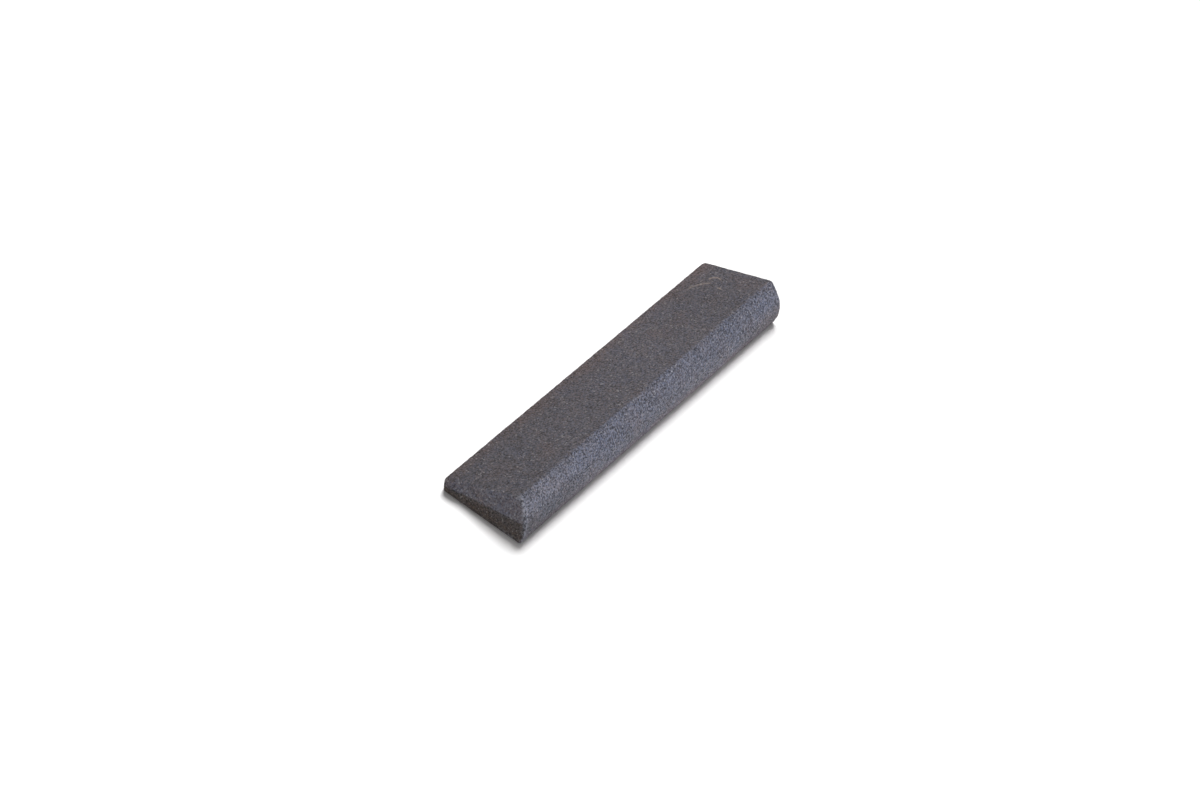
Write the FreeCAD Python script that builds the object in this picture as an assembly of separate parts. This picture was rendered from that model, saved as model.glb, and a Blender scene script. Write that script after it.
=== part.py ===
"""A slip stone: a small hand-held hone for gouges and carving knives.

The stone is one wedge-shaped bar that lies on its flat underside. X runs along it, from the bevelled end at
-X to the square end at +X. Its thin edge is at +Y and its thick, rounded side at -Y. Lengths are in
millimetres, and the origin is the bottom centre of the bar.
"""

import FreeCAD
import Part
import math
import os

LENGTH = 100.0
BASE_WIDTH = 20.3  # across the flat underside

# The wedge's cross-section
THIN_EDGE_HEIGHT = 3.5
RIDGE_HEIGHT = 10.1
RIDGE_INSET = 3.9  # from the foot of the thick side to below the ridge
SIDE_BULGE = 1.8  # how far the rounded side bows out from the chord between its foot and the ridge

# The bevelled end: an upright face, and a steep bevel that leans back above it
UPRIGHT_AT_THIN_EDGE = 1.6
UPRIGHT_RISE = 0.2  # how much taller the upright face grows for each millimetre towards the thick side
BEVEL_LEAN = 14.4  # degrees back from the vertical

# The corners of the thin edge, seen from above
BEVELLED_END_CORNER_R = 1.0
SQUARE_END_CORNER_R = 0.9

# Worn edges
RIDGE_R = 0.8
EDGE_R = 0.3
SHARP = 0.1  # radians between two faces, above which the edge they share counts as sharp

CUTTER = 60.0  # larger than anything that it removes


def vec(x, y, z):
    return FreeCAD.Vector(x, y, z)


def wedge_bar():
    """The full cross-section, run along the whole length from X = 0. The thick side's foot is at Y = 0."""
    thick_foot = vec(0, 0, 0)
    thin_foot = vec(0, BASE_WIDTH, 0)
    thin_top = vec(0, BASE_WIDTH, THIN_EDGE_HEIGHT)
    ridge = vec(0, RIDGE_INSET, RIDGE_HEIGHT)
    outwards = vec(0, -RIDGE_HEIGHT, RIDGE_INSET).normalize()
    side_middle = ridge * 0.5 + outwards * SIDE_BULGE
    outline = Part.Wire(
        [
            Part.makeLine(thick_foot, thin_foot),
            Part.makeLine(thin_foot, thin_top),
            Part.makeLine(thin_top, ridge),
            Part.Arc(ridge, side_middle, thick_foot).toShape(),
        ]
    )
    return Part.Face(outline).extrude(vec(LENGTH, 0, 0))


def corner_trim(end_x, radius, inwards):
    """What is cut from a plan corner of the thin edge to round it. inwards is 1 or -1, along X into the bar."""
    centre = vec(end_x + inwards * radius, BASE_WIDTH - radius, 0)
    square = Part.makeBox(radius, radius, CUTTER, vec(min(end_x, centre.x), centre.y, 0))
    return square.cut(Part.makeCylinder(radius, CUTTER, centre))


def bevel_block():
    """A block whose underside lies in the bevel."""
    steepness = 1 / math.tan(math.radians(BEVEL_LEAN))
    outwards = vec(-steepness, UPRIGHT_RISE, 1)
    start = vec(0, BASE_WIDTH, UPRIGHT_AT_THIN_EDGE)
    block = Part.makeBox(CUTTER, CUTTER, CUTTER, vec(-CUTTER / 2, -CUTTER / 2, 0))
    block.Placement = FreeCAD.Placement(start, FreeCAD.Rotation(vec(0, 0, 1), outwards))
    return block


def is_ridge(edge):
    middle = edge.CenterOfMass
    return math.isclose(middle.y, RIDGE_INSET, abs_tol=0.01) and math.isclose(middle.z, RIDGE_HEIGHT, abs_tol=0.01)


def is_sharp(edge, solid):
    """True if the two faces that meet at the edge turn by more than SHARP."""
    middle = edge.valueAt((edge.FirstParameter + edge.LastParameter) / 2)
    normals = [face.normalAt(*face.Surface.parameter(middle)) for face in solid.ancestorsOfType(edge, Part.Face)]
    return normals[0].getAngle(normals[1]) > SHARP


def with_worn_edges(solid):
    """Rounds the ridge first, because it is worn the most, and then every other sharp edge."""
    worn = solid.makeFillet(RIDGE_R, [edge for edge in solid.Edges if is_ridge(edge)]).Solids[0]
    return worn.makeFillet(EDGE_R, [edge for edge in worn.Edges if is_sharp(edge, worn)]).Solids[0]


def slip_stone():
    stone = wedge_bar()
    stone = stone.cut(corner_trim(0, BEVELLED_END_CORNER_R, 1))
    stone = stone.cut(corner_trim(LENGTH, SQUARE_END_CORNER_R, -1))
    stone = stone.cut(bevel_block())
    return with_worn_edges(stone.Solids[0])


def at_bottom_centre(solid):
    box = solid.optimalBoundingBox()
    solid.translate(vec(-box.Center.x, -box.Center.y, -box.ZMin))
    return solid


os.makedirs("parts", exist_ok=True)
stone = at_bottom_centre(slip_stone())
print("slip_stone", stone.isValid(), round(stone.Volume), "mm3", stone.optimalBoundingBox())
stone.exportStep("parts/slip_stone.step")
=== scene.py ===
import math

import bmesh
import bpy
import numpy as np
from mathutils import Matrix, Vector


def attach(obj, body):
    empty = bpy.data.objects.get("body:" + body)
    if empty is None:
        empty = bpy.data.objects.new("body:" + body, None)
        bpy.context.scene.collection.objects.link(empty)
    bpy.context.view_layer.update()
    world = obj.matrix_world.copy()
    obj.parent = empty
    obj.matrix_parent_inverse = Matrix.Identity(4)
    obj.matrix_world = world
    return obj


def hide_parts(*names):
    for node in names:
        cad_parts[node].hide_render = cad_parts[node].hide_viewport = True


# A slip stone on a pale table, in soft studio light. Lengths are in metres, in the frame of the CAD
# model: X runs along the stone from its bevelled end to its square end, Z is up, the thick rounded
# side faces -Y and the thin edge faces +Y. Where x, y and z stand alone they are in millimetres.

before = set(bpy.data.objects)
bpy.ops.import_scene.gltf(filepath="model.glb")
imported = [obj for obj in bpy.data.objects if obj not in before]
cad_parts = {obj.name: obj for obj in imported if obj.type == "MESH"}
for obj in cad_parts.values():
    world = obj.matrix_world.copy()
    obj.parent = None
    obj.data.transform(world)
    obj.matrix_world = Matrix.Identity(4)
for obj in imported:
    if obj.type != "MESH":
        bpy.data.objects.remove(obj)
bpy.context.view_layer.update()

MM = 0.001

# The camera, which leans a little, looks at a point on the table under the stone.
CAMERA_AIM = Vector((-2.95, 1.8, 0.0)) * MM
CAMERA_AZIMUTH = math.radians(-69.08)
CAMERA_ELEVATION = math.radians(42.39)
CAMERA_DISTANCE = 838.5 * MM
CAMERA_ROLL = math.radians(20.0)
CAMERA_LENS = 117.44
SENSOR_WIDTH = 36.0
NEAREST_SEEN = 0.05

# The sky is at full strength high up and fades to dark just below the horizon. Its limits are heights
# of the direction looked in: 0 is the horizon and 1 is straight above.
SKY = 0.33
SKY_COLOUR = (1.0, 0.975, 0.975, 1.0)
SKY_DARK_BELOW = -0.1
SKY_FULL_ABOVE = 0.6

# The softboxes light the stone alone: where each one's centre is, its width, power and colour.
ABOVE = (0.37, 0.26, 0.86)
SOFTBOXES = {
    "top_softbox": (ABOVE, 0.4, 4.1, (1.0, 0.97, 0.96)),
    "side_softbox": ((0.35, -0.85, 0.35), 0.6, 11.7, (0.82, 0.89, 1.0)),
    "end_softbox": ((-0.8, 0.0, 0.55), 0.5, 4.9, (0.93, 0.96, 1.0)),
}

# The table has a sun instead of the top softbox: neutral, and even all the way to the horizon.
TABLE_SUN = 3.45
SUN_ANGLE = math.radians(27)

TABLE_HALF_WIDTH = 3.0
TABLE_GAP = 0.02 * MM  # how far the table lies below the CAD solid's underside
BACKDROP_RADIUS = 2.6

# The stone's mesh. Each set of random lumps has its own seed.
GRID = 0.256 * MM  # spacing of the vertices
WELD = 0.001 * MM  # CAD vertices closer than this are merged first
CHIP_SEED = 11
# Layers of grit, in millimetres: how wide and how high the lumps are, and their seed.
GRIT_LAYERS = ((0.45, 0.024, 12), (1.3, 0.014, 13), (9, 0.015, 14))
RAGGED_SEEDS = (15, 16, 17)
SCRATCH_SEED = 18


# ---------------------------------------------------------------- shape

def fine_copy(node, name):
    """A closed copy of a CAD node with evenly spaced vertices, as a new object."""
    mesh = node.data.copy()
    welded = bmesh.new()
    welded.from_mesh(mesh)
    bmesh.ops.remove_doubles(welded, verts=welded.verts, dist=WELD)
    welded.to_mesh(mesh)
    welded.free()
    rough = bpy.data.objects.new(name + "_coarse", mesh)
    bpy.context.scene.collection.objects.link(rough)
    remesh = rough.modifiers.new("even_grid", "REMESH")
    remesh.mode = "VOXEL"
    remesh.voxel_size = GRID
    graph = bpy.context.evaluated_depsgraph_get()
    fine = bpy.data.meshes.new_from_object(rough.evaluated_get(graph), depsgraph=graph)
    bpy.data.objects.remove(rough)
    fine.name = name
    fine.materials.clear()
    fine.polygons.foreach_set("use_smooth", np.ones(len(fine.polygons), bool))
    piece = bpy.data.objects.new(name, fine)
    bpy.context.scene.collection.objects.link(piece)
    return piece


def read_vectors(items, field):
    values = np.zeros(len(items) * 3)
    items.foreach_get(field, values)
    return values.reshape(-1, 3)


def edge_pairs(mesh):
    pairs = np.zeros(len(mesh.edges) * 2, int)
    mesh.edges.foreach_get("vertices", pairs)
    return pairs.reshape(-1, 2)


def spread(values, pairs, times):
    """Each vertex's values averaged with its neighbours', several times over."""
    count = np.bincount(pairs.ravel(), minlength=len(values)).astype(float)
    for _ in range(times):
        total = np.stack(
            [
                np.bincount(pairs[:, 0], column[pairs[:, 1]], len(values))
                + np.bincount(pairs[:, 1], column[pairs[:, 0]], len(values))
                for column in values.T
            ],
            axis=1,
        )
        values = (values + total) / (count[:, None] + 1)
    return values


def lumps(points, size, seed):
    """Smooth noise from -1 to 1 at each point, in lumps of the given size."""
    at = (points - points.min(0)) / size
    low = np.floor(at).astype(int)
    part = at - low
    part = part * part * (3 - 2 * part)
    lattice = np.random.default_rng(seed).uniform(-1, 1, low.max(0) + 2)
    total = np.zeros(len(points))
    for corner in np.ndindex(2, 2, 2):
        weight = np.prod(np.where(corner, part, 1 - part), axis=1)
        total += weight * lattice[tuple((low + corner).T)]
    return total


def step(values, low, high):
    """0 up to low, 1 from high on, and a smooth rise between. low may be the larger, for a fall."""
    part = np.clip((values - low) / (high - low), 0, 1)
    return part * part * (3 - 2 * part)


def add_attribute(mesh, name, values):
    layer = mesh.attributes.new(name, "FLOAT", "POINT")
    layer.data.foreach_set("value", values.astype(np.float32))


def worn_edges(points, normals, pairs):
    """1 along the stone's edges, fading to 0 about half a millimetre away from them."""
    full_bulge = 0.1 * MM
    smooth = spread(points, pairs, 10)
    bulge = np.einsum("ij,ij->i", points - smooth, normals) / full_bulge
    return np.clip(spread(bulge[:, None], pairs, 2)[:, 0], 0, 1)


def eased(points, pairs):
    """The points with the bevel's top edge rubbed round, and with two corners that bulge a little."""
    x, y, z = (points / MM).T
    foot_slope = 0.2
    above_foot = z - z.min() - foot_slope * (y.max() - y)
    over_bevel = step(x, -45, -47.5)
    high_on_bevel = step(above_foot, 2.4, 3.2)
    off_thin_side = step(y, 7, 5)
    rubbed = over_bevel * high_on_bevel * off_thin_side
    moved = points + (spread(points, pairs, 14) - points) * rubbed[:, None]

    near_end = step(x, -48.5, -49.5)
    thin_corner = near_end * step(y, 6, 9) * step(above_foot, 0, 2.8)
    thin_corner_push = (-0.7, 0.0, 0.0)
    far_end = step(x, 45, 50)
    thick_corner = far_end * step(y, -7, -9.5) * step(z, 0, 2.5) * step(z, 9, 6)
    thick_corner_push = (0.2, -0.15, 0.0)
    moved += np.outer(thin_corner, thin_corner_push) * MM
    moved += np.outer(thick_corner, thick_corner_push) * MM
    return moved


def roughen(mesh, points, normals, edge):
    """Sharpens the stone's edges, chips them a little, and gives its faces the roughness of grit."""
    chip_size = 0.9 * MM
    chips = np.clip(lumps(points, chip_size, CHIP_SEED) * 1.6 - 0.35, 0, 1)
    sharpened = 0.05
    chipped = 0.045
    height = edge * (sharpened - chipped * chips)
    for size, grit_height, seed in GRIT_LAYERS:
        height += grit_height * lumps(points, size * MM, seed)
    moved = points + normals * height[:, None] * MM
    mesh.vertices.foreach_set("co", moved.astype(np.float32).ravel())
    mesh.update()


# ---------------------------------------------------------------- marks, and painted light and shade, on the stone

def arc(points, middle, radius, start, stop):
    """1 on a thin arc on the stone's top, seen from above. Lengths in mm, angles in degrees from +X."""
    width = 0.3
    fade = 8
    x, y, z = (points / MM).T
    across_x = x - middle[0]
    across_y = y - middle[1]
    angle = np.degrees(np.arctan2(across_y, across_x))
    off = np.abs(np.hypot(across_x, across_y) - radius)
    on_top = step(z, 3.0, 4.0)
    ends = step(angle, start, start + fade) * step(angle, stop, stop - fade)
    return on_top * ends * step(off, width, 0)


def scratches(points):
    """Three thin curved scratches on the top, near its far end."""
    lines = arc(points, (37.3, 0.9), 6.55, 30, 82)
    lines += arc(points, (44.1, 4.3), 1.3, -60, 95)
    lines += arc(points, (40.7, 1.9), 1.0, -45, 30)
    uneven = 0.75 + 0.35 * lumps(points, 0.8 * MM, SCRATCH_SEED)
    return np.clip(lines * uneven, 0, 1)


def side_painted_light_and_shade(x, z, near_end):
    """How light the thick side is, in painted light and shade across its rounded face, with a painted
    sheen just below the ridge near the bevelled end. It reaches from its foot at z = 0 to the ridge at
    about z = 10.
    """
    below_ridge = step(z, 9.7, 9.1)
    towards_foot = step(z, 8.6, 1.0)
    far_lower_side = step(x, -14, 8) * step(z, 8.5, 4.5)
    plain = 0.86 + 0.13 * below_ridge + 0.34 * towards_foot + 0.15 * far_lower_side

    upper_side = step(z, 3.0, 8.0)
    # A painted sheen just below the ridge.
    painted_sheen_band = step(z, 6.6, 7.8) * step(z, 9.5, 8.4)
    near = 0.83 + 0.13 * upper_side + 0.18 * painted_sheen_band

    far_end = step(x, 30, 46)
    far_foot = step(x, 30, 44) * step(z, 7.0, 2.5)
    return plain + (near - plain) * near_end + 0.08 * far_end - 0.50 * far_foot


def top_brightness(x, near_end):
    """How light the top is."""
    far_half = step(x, -14, 10)
    far_end = step(x, 36, 46)
    return 1.02 - 0.08 * near_end + 0.12 * far_half + 0.06 * far_end


def mark_wear_and_painted_light(mesh, points, normals, pairs, edge):
    """Stores the pale worn edges and their painted highlight, the scratches, and where the stone is
    lighter, darker, warmer or cooler, with painted light and shade on the thick side and painted cool
    light near its ridge.
    """
    x, y, z = (points / MM).T
    outward = -spread(normals, pairs, 4)[:, 1]
    side = step(outward, -0.05, 0.35)
    near_end = step(x, -24, -40)

    # Pale worn edges, with a much stronger painted highlight along the edge of the near corner on the
    # thick side.
    highlit_near_corner = step(x, -45, -49) * step(y, -4, -6)
    off_thin_edge = step(y, 8, 4)
    pale_edge_and_highlight = edge * (0.05 + 0.40 * highlit_near_corner) * off_thin_edge

    painted_tone_of_side = side_painted_light_and_shade(x, z, near_end)
    tone_of_top = top_brightness(x, near_end)
    warm_far_foot = 0.7 * step(x, 36, 43) * step(z, 7.0, 4.0)
    warm_foot = np.maximum(step(z, 4.5, 0.5), warm_far_foot)
    warm_thin_edge = step(y, 6.5, 10.2)
    # Painted cool light on the upper part of the thick side, up to its ridge.
    painted_cool_light_on_ridge = step(z, 3.5, 8.5) * step(outward, -0.4, 0.2)

    add_attribute(mesh, "edge", pale_edge_and_highlight)
    add_attribute(mesh, "scratch", scratches(points))
    # On the thick side the tone is painted light and shade; on the top it is lighter or darker along
    # the stone.
    add_attribute(mesh, "tone", tone_of_top + (painted_tone_of_side - tone_of_top) * side)
    add_attribute(mesh, "warm", warm_thin_edge * (1 - side) + warm_foot * side)
    add_attribute(mesh, "cool_painted_light", painted_cool_light_on_ridge * (1 - 0.35 * near_end))
    add_attribute(mesh, "side", side)


def mark_faces(mesh, points, normals, pairs):
    """Stores how far each vertex belongs to the foot of the bevelled end and to its bevel. These carry
    painted shade on the foot and painted light on the bevel.
    """
    wobble = np.stack([lumps(points, 1.2 * MM, seed) for seed in RAGGED_SEEDS], axis=1)
    ragged = spread(normals, pairs, 4) + 0.025 * wobble
    along = ragged[:, 0]
    up = ragged[:, 2]
    from_end = (points[:, 0] - points[:, 0].min()) / MM
    z = points[:, 2] / MM
    at_end = step(from_end, 3.0, 2.0)
    foot = at_end * step(up, 0.12, 0.05) * step(along, -0.75, -0.9)
    bevel = at_end * step(up, 0.06, 0.16) * step(along, -0.6, -0.93)
    # The foot's painted shade grows deeper towards the bottom.
    add_attribute(mesh, "foot", foot * (0.8 + 0.2 * step(z, 3.0, 0.5)))
    # The bevel's painted light.
    add_attribute(mesh, "bevel", bevel)


# ---------------------------------------------------------------- materials

class Nodes:
    """A new material and short calls that add nodes to it."""

    def __init__(self, name):
        self.material = bpy.data.materials.new(name)
        self.material.use_nodes = True
        self.tree = self.material.node_tree
        self.tree.nodes.clear()

    def feed(self, socket, value):
        if isinstance(value, bpy.types.NodeSocket):
            self.tree.links.new(value, socket)
        else:
            socket.default_value = value

    def add(self, kind, settings=None, **inputs):
        node = self.tree.nodes.new(kind)
        for field, value in (settings or {}).items():
            setattr(node, field, value)
        for field, value in inputs.items():
            self.feed(node.inputs[field.replace("_", " ")], value)
        return node

    def math(self, operation, first, second):
        node = self.tree.nodes.new("ShaderNodeMath")
        node.operation = operation
        self.feed(node.inputs[0], first)
        self.feed(node.inputs[1], second)
        return node.outputs[0]

    def scaled(self, value, factor):
        return self.math("MULTIPLY", value, factor)

    def total(self, first, *others):
        for other in others:
            first = self.math("ADD", first, other)
        return first

    def slope(self, value, low, high):
        """0 up to low, 1 from high on, and a straight slope between."""
        node = self.add("ShaderNodeMapRange", {"clamp": True}, Value=value, From_Min=low, From_Max=high)
        return node.outputs["Result"]

    def mix(self, factor, first, second, blend="MIX"):
        node = self.tree.nodes.new("ShaderNodeMix")
        node.data_type = "RGBA"
        node.blend_type = blend
        sockets = {socket.identifier: socket for socket in node.inputs}
        self.feed(sockets["Factor_Float"], factor)
        self.feed(sockets["A_Color"], first)
        self.feed(sockets["B_Color"], second)
        return next(s for s in node.outputs if s.identifier == "Result_Color")

    def tinted(self, colour, tint, amount):
        return self.mix(amount, colour, tint, "MULTIPLY")

    def attribute(self, name):
        return self.add("ShaderNodeAttribute", {"attribute_name": name}).outputs["Fac"]

    def place(self):
        return self.add("ShaderNodeTexCoord").outputs["Object"]

    def noise(self, place, size, detail):
        """Smooth noise around 0.5, in lumps of about the given size."""
        node = self.add("ShaderNodeTexNoise", Vector=place, Scale=1 / size, Detail=detail)
        return node.outputs["Fac"]

    def cells(self, place, size):
        """Random cells of about the given size: their colours, and distances from their middles."""
        return self.add("ShaderNodeTexVoronoi", Vector=place, Scale=1 / size).outputs

    def finish(self, shader):
        self.add("ShaderNodeOutputMaterial", Surface=shader.outputs[0])
        return self.material


def rgb(red, green, blue):
    return (red, green, blue, 1.0)


DARK_GRAIN = rgb(0.014, 0.012, 0.013)
PALE_GRAIN = rgb(0.162, 0.153, 0.167)
BLUE_TINT = rgb(0.91, 0.98, 1.12)
BROWN_TINT = rgb(1.11, 0.98, 0.91)
GLINT = rgb(0.46, 0.42, 0.42)
# Painted shade on the upright foot of the bevelled end, dark and warm.
FOOT_PAINTED_SHADE = rgb(0.79, 0.68, 0.53)
# Painted light on the bevel of the bevelled end.
BEVEL_PAINTED_LIGHT = rgb(1.57, 1.54, 1.53)
WARM_TINT = rgb(1.11, 0.98, 0.90)
# Painted cool light on the upper part of the thick side.
COOL_PAINTED_LIGHT = rgb(0.95, 0.99, 1.09)
# Pale worn edges, and a painted highlight on the edge of the near corner.
WORN_AND_HIGHLIGHT = rgb(0.32, 0.325, 0.355)
SCRATCH = rgb(0.36, 0.29, 0.25)

# Sizes of the abrasive's pattern, from finest to coarsest.
POWDER_SIZE = 0.17 * MM
GRAIN_SIZE = 0.29 * MM
FINES_SIZE = 0.40 * MM
CLUMP_SIZE = 3.0 * MM
STAIN_SIZE = 5.5 * MM
CLOUD_SIZE = 24 * MM

# How much each layer of grain adds to the contrast, and how strong it all is on each face.
POWDER_CONTRAST = 0.5
GRAIN_CONTRAST = 0.43
FINES_CONTRAST = 0.46
TOP_CONTRAST = 0.84
SIDE_EXTRA_CONTRAST = 0.5
FOOT_EXTRA_CONTRAST = 0.7

TABLE_FIBRE = 2.5 * MM
TABLE_PALE = rgb(0.93, 0.93, 0.93)
TABLE_SHADE = rgb(0.85, 0.85, 0.85)


def grain_colour(n, place, grain, fines):
    """Dark and pale grains, some bluish and some brownish. They differ more on the side and foot."""
    grains = n.scaled(n.math("SUBTRACT", n.slope(grain["Red"], 0.1, 0.9), 0.5), GRAIN_CONTRAST)
    patches = n.scaled(n.math("SUBTRACT", n.slope(fines, 0.3, 0.7), 0.5), FINES_CONTRAST)
    from_middle = n.cells(place, POWDER_SIZE)["Distance"]
    powder = n.scaled(n.math("SUBTRACT", 0.45, from_middle), POWDER_CONTRAST)
    on_side = n.scaled(n.attribute("side"), SIDE_EXTRA_CONTRAST)
    on_foot = n.scaled(n.attribute("foot"), FOOT_EXTRA_CONTRAST)
    contrast = n.total(on_side, TOP_CONTRAST, on_foot)
    tone = n.scaled(n.total(grains, patches, powder), contrast)
    colour = n.mix(n.total(tone, 0.5), DARK_GRAIN, PALE_GRAIN)
    colour = n.tinted(colour, BLUE_TINT, n.slope(grain["Green"], 0.5, 0.9))
    return n.tinted(colour, BROWN_TINT, n.slope(grain["Green"], 0.4, 0.0))


def clouded(n, colour, place):
    """The colour with pale clumps, large dark clouds, and brown and blue stains."""
    clump = n.slope(n.noise(place, CLUMP_SIZE, 2.0), 0.35, 0.7)
    cloud = n.slope(n.noise(place, CLOUD_SIZE, 3.0), 0.4, 0.7)
    stain = n.noise(place, STAIN_SIZE, 3.0)
    colour = n.mix(n.scaled(clump, 0.12), colour, PALE_GRAIN)
    colour = n.mix(n.scaled(cloud, 0.15), colour, DARK_GRAIN)
    colour = n.tinted(colour, BROWN_TINT, n.scaled(n.slope(stain, 0.52, 0.72), 0.6))
    return n.tinted(colour, BLUE_TINT, n.scaled(n.slope(stain, 0.48, 0.28), 0.5))


def shaded_by_marks_and_painted_light(n, colour, grain):
    """The colour with the painted light and shade, tints, pale worn edges with their painted highlight,
    and scratches that the mesh stores.
    """
    # Painted light on the bevel.
    colour = n.tinted(colour, BEVEL_PAINTED_LIGHT, n.attribute("bevel"))
    # Painted shade on the foot of the bevelled end.
    colour = n.tinted(colour, FOOT_PAINTED_SHADE, n.attribute("foot"))
    colour = n.tinted(colour, WARM_TINT, n.attribute("warm"))
    # Painted cool light near the ridge.
    colour = n.tinted(colour, COOL_PAINTED_LIGHT, n.attribute("cool_painted_light"))
    tone = n.attribute("tone")
    shaded = n.add("ShaderNodeVectorMath", {"operation": "SCALE"}, Vector=colour, Scale=tone)
    # Pale worn edges with their painted highlight, broken up by the grains.
    worn_and_highlit = n.scaled(n.attribute("edge"), n.slope(grain["Red"], 0.2, 0.9))
    colour = n.mix(worn_and_highlit, shaded.outputs["Vector"], WORN_AND_HIGHLIGHT)
    return n.mix(n.attribute("scratch"), colour, SCRATCH)


def abrasive_material():
    n = Nodes("abrasive")
    place = n.place()
    grain = n.add("ShaderNodeSeparateColor", Color=n.cells(place, GRAIN_SIZE)["Color"]).outputs
    fines = n.noise(place, FINES_SIZE, 0.0)
    colour = grain_colour(n, place, grain, fines)
    colour = clouded(n, colour, place)
    colour = shaded_by_marks_and_painted_light(n, colour, grain)

    # About one grain in fourteen glints, most of them faintly.
    glint = n.slope(grain["Blue"], 0.93, 1.0)
    colour = n.mix(n.scaled(glint, 0.34), colour, GLINT)
    roughness = n.math("SUBTRACT", 0.8, n.scaled(glint, 0.35))
    height = n.total(n.scaled(fines, 0.6), grain["Red"])
    bump = n.add("ShaderNodeBump", Height=height, Strength=0.6, Distance=0.08 * MM)
    return n.finish(
        n.add(
            "ShaderNodeBsdfPrincipled",
            Base_Color=colour,
            Roughness=roughness,
            Normal=bump.outputs[0],
            Specular_IOR_Level=0.4,
        )
    )


def table_material():
    n = Nodes("table")
    fibre = n.scaled(n.noise(n.place(), TABLE_FIBRE, 2.0), 0.02)
    colour = n.mix(fibre, TABLE_PALE, TABLE_SHADE)
    return n.finish(n.add("ShaderNodeBsdfPrincipled", Base_Color=colour, Roughness=0.9))


def backdrop_material():
    n = Nodes("backdrop")
    return n.finish(n.add("ShaderNodeEmission", Color=rgb(1.0, 1.0, 1.0)))


# ---------------------------------------------------------------- pieces

def make_stone():
    stone = fine_copy(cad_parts["slip_stone"], "stone_bar")
    mesh = stone.data
    points = read_vectors(mesh.vertices, "co")
    normals = read_vectors(mesh.vertices, "normal")
    pairs = edge_pairs(mesh)
    edge = worn_edges(points, normals, pairs)
    mark_wear_and_painted_light(mesh, points, normals, pairs, edge)
    mark_faces(mesh, points, normals, pairs)
    roughen(mesh, eased(points, pairs), normals, edge)
    mesh.materials.append(abrasive_material())
    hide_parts("slip_stone")
    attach(stone, "root")
    return stone


# ---------------------------------------------------------------- stage, light and camera

def make_backdrop():
    """A white dome over the table. Only the camera sees it: it neither lights nor shades the stone."""
    dome = bmesh.new()
    bmesh.ops.create_uvsphere(dome, u_segments=64, v_segments=32, radius=BACKDROP_RADIUS)
    mesh = bpy.data.meshes.new("backdrop")
    dome.to_mesh(mesh)
    dome.free()
    mesh.materials.append(backdrop_material())
    backdrop = bpy.data.objects.new("backdrop", mesh)
    backdrop.visible_diffuse = False
    backdrop.visible_glossy = False
    backdrop.visible_transmission = False
    backdrop.visible_shadow = False
    bpy.context.scene.collection.objects.link(backdrop)


def make_table():
    """A plain pale table. It throws no light back at the stone."""
    half = TABLE_HALF_WIDTH
    corners = [(-half, -half, 0), (half, -half, 0), (half, half, 0), (-half, half, 0)]
    mesh = bpy.data.meshes.new("table")
    mesh.from_pydata(corners, [], [(0, 1, 2, 3)])
    mesh.materials.append(table_material())
    table = bpy.data.objects.new("table", mesh)
    table.location.z = -TABLE_GAP
    table.visible_diffuse = False
    bpy.context.scene.collection.objects.link(table)
    return table


def hang_lamp(light, offset, lit_piece):
    """Puts a lamp at the offset from the origin, aimed at the origin. Only one piece gets its light."""
    lamp = bpy.data.objects.new(light.name, light)
    lamp.location = Vector(offset)
    lamp.rotation_euler = Vector(offset).to_track_quat("Z", "Y").to_euler()
    bpy.context.scene.collection.objects.link(lamp)
    lit = bpy.data.collections.new(light.name + "_lit")
    lit.objects.link(lit_piece)
    lamp.light_linking.receiver_collection = lit


def make_softbox(name, offset, size, power, colour, lit_piece):
    light = bpy.data.lights.new(name, "AREA")
    light.shape = "SQUARE"
    light.size = size
    light.energy = power
    light.color = colour
    hang_lamp(light, offset, lit_piece)


def make_sun(name, offset, lit_piece):
    """A distant light that comes from the offset's direction."""
    light = bpy.data.lights.new(name, "SUN")
    light.energy = TABLE_SUN
    light.angle = SUN_ANGLE
    hang_lamp(light, offset, lit_piece)


def make_sky():
    world = bpy.data.worlds.new("sky")
    world.use_nodes = True
    tree = world.node_tree
    way = tree.nodes.new("ShaderNodeTexCoord")
    split = tree.nodes.new("ShaderNodeSeparateXYZ")
    rise = tree.nodes.new("ShaderNodeMapRange")
    rise.inputs["From Min"].default_value = SKY_DARK_BELOW
    rise.inputs["From Max"].default_value = SKY_FULL_ABOVE
    rise.inputs["To Max"].default_value = SKY
    tree.links.new(way.outputs["Generated"], split.inputs[0])
    tree.links.new(split.outputs["Z"], rise.inputs["Value"])
    tree.links.new(rise.outputs["Result"], tree.nodes["Background"].inputs["Strength"])
    tree.nodes["Background"].inputs["Color"].default_value = SKY_COLOUR
    bpy.context.scene.world = world


def make_lights(stone, table):
    make_sky()
    make_sun("table_sun", ABOVE, table)
    for name, (offset, size, power, colour) in SOFTBOXES.items():
        make_softbox(name, offset, size, power, colour, stone)


def make_camera():
    lens = bpy.data.cameras.new("camera")
    lens.lens = CAMERA_LENS
    lens.sensor_width = SENSOR_WIDTH
    lens.clip_start = NEAREST_SEEN
    camera = bpy.data.objects.new("camera", lens)
    flat = math.cos(CAMERA_ELEVATION)
    across = math.sin(CAMERA_AZIMUTH) * flat
    along = -math.cos(CAMERA_AZIMUTH) * flat
    back = Vector((across, along, math.sin(CAMERA_ELEVATION)))
    camera.location = CAMERA_AIM + back * CAMERA_DISTANCE
    upright = (-back).to_track_quat("-Z", "Y")
    camera.rotation_mode = "QUATERNION"
    camera.rotation_quaternion = upright @ Matrix.Rotation(CAMERA_ROLL, 3, "Z").to_quaternion()
    bpy.context.scene.collection.objects.link(camera)
    bpy.context.scene.camera = camera


make_camera()
make_backdrop()
make_lights(make_stone(), make_table())
bpy.context.scene.view_settings.view_transform = "Standard"
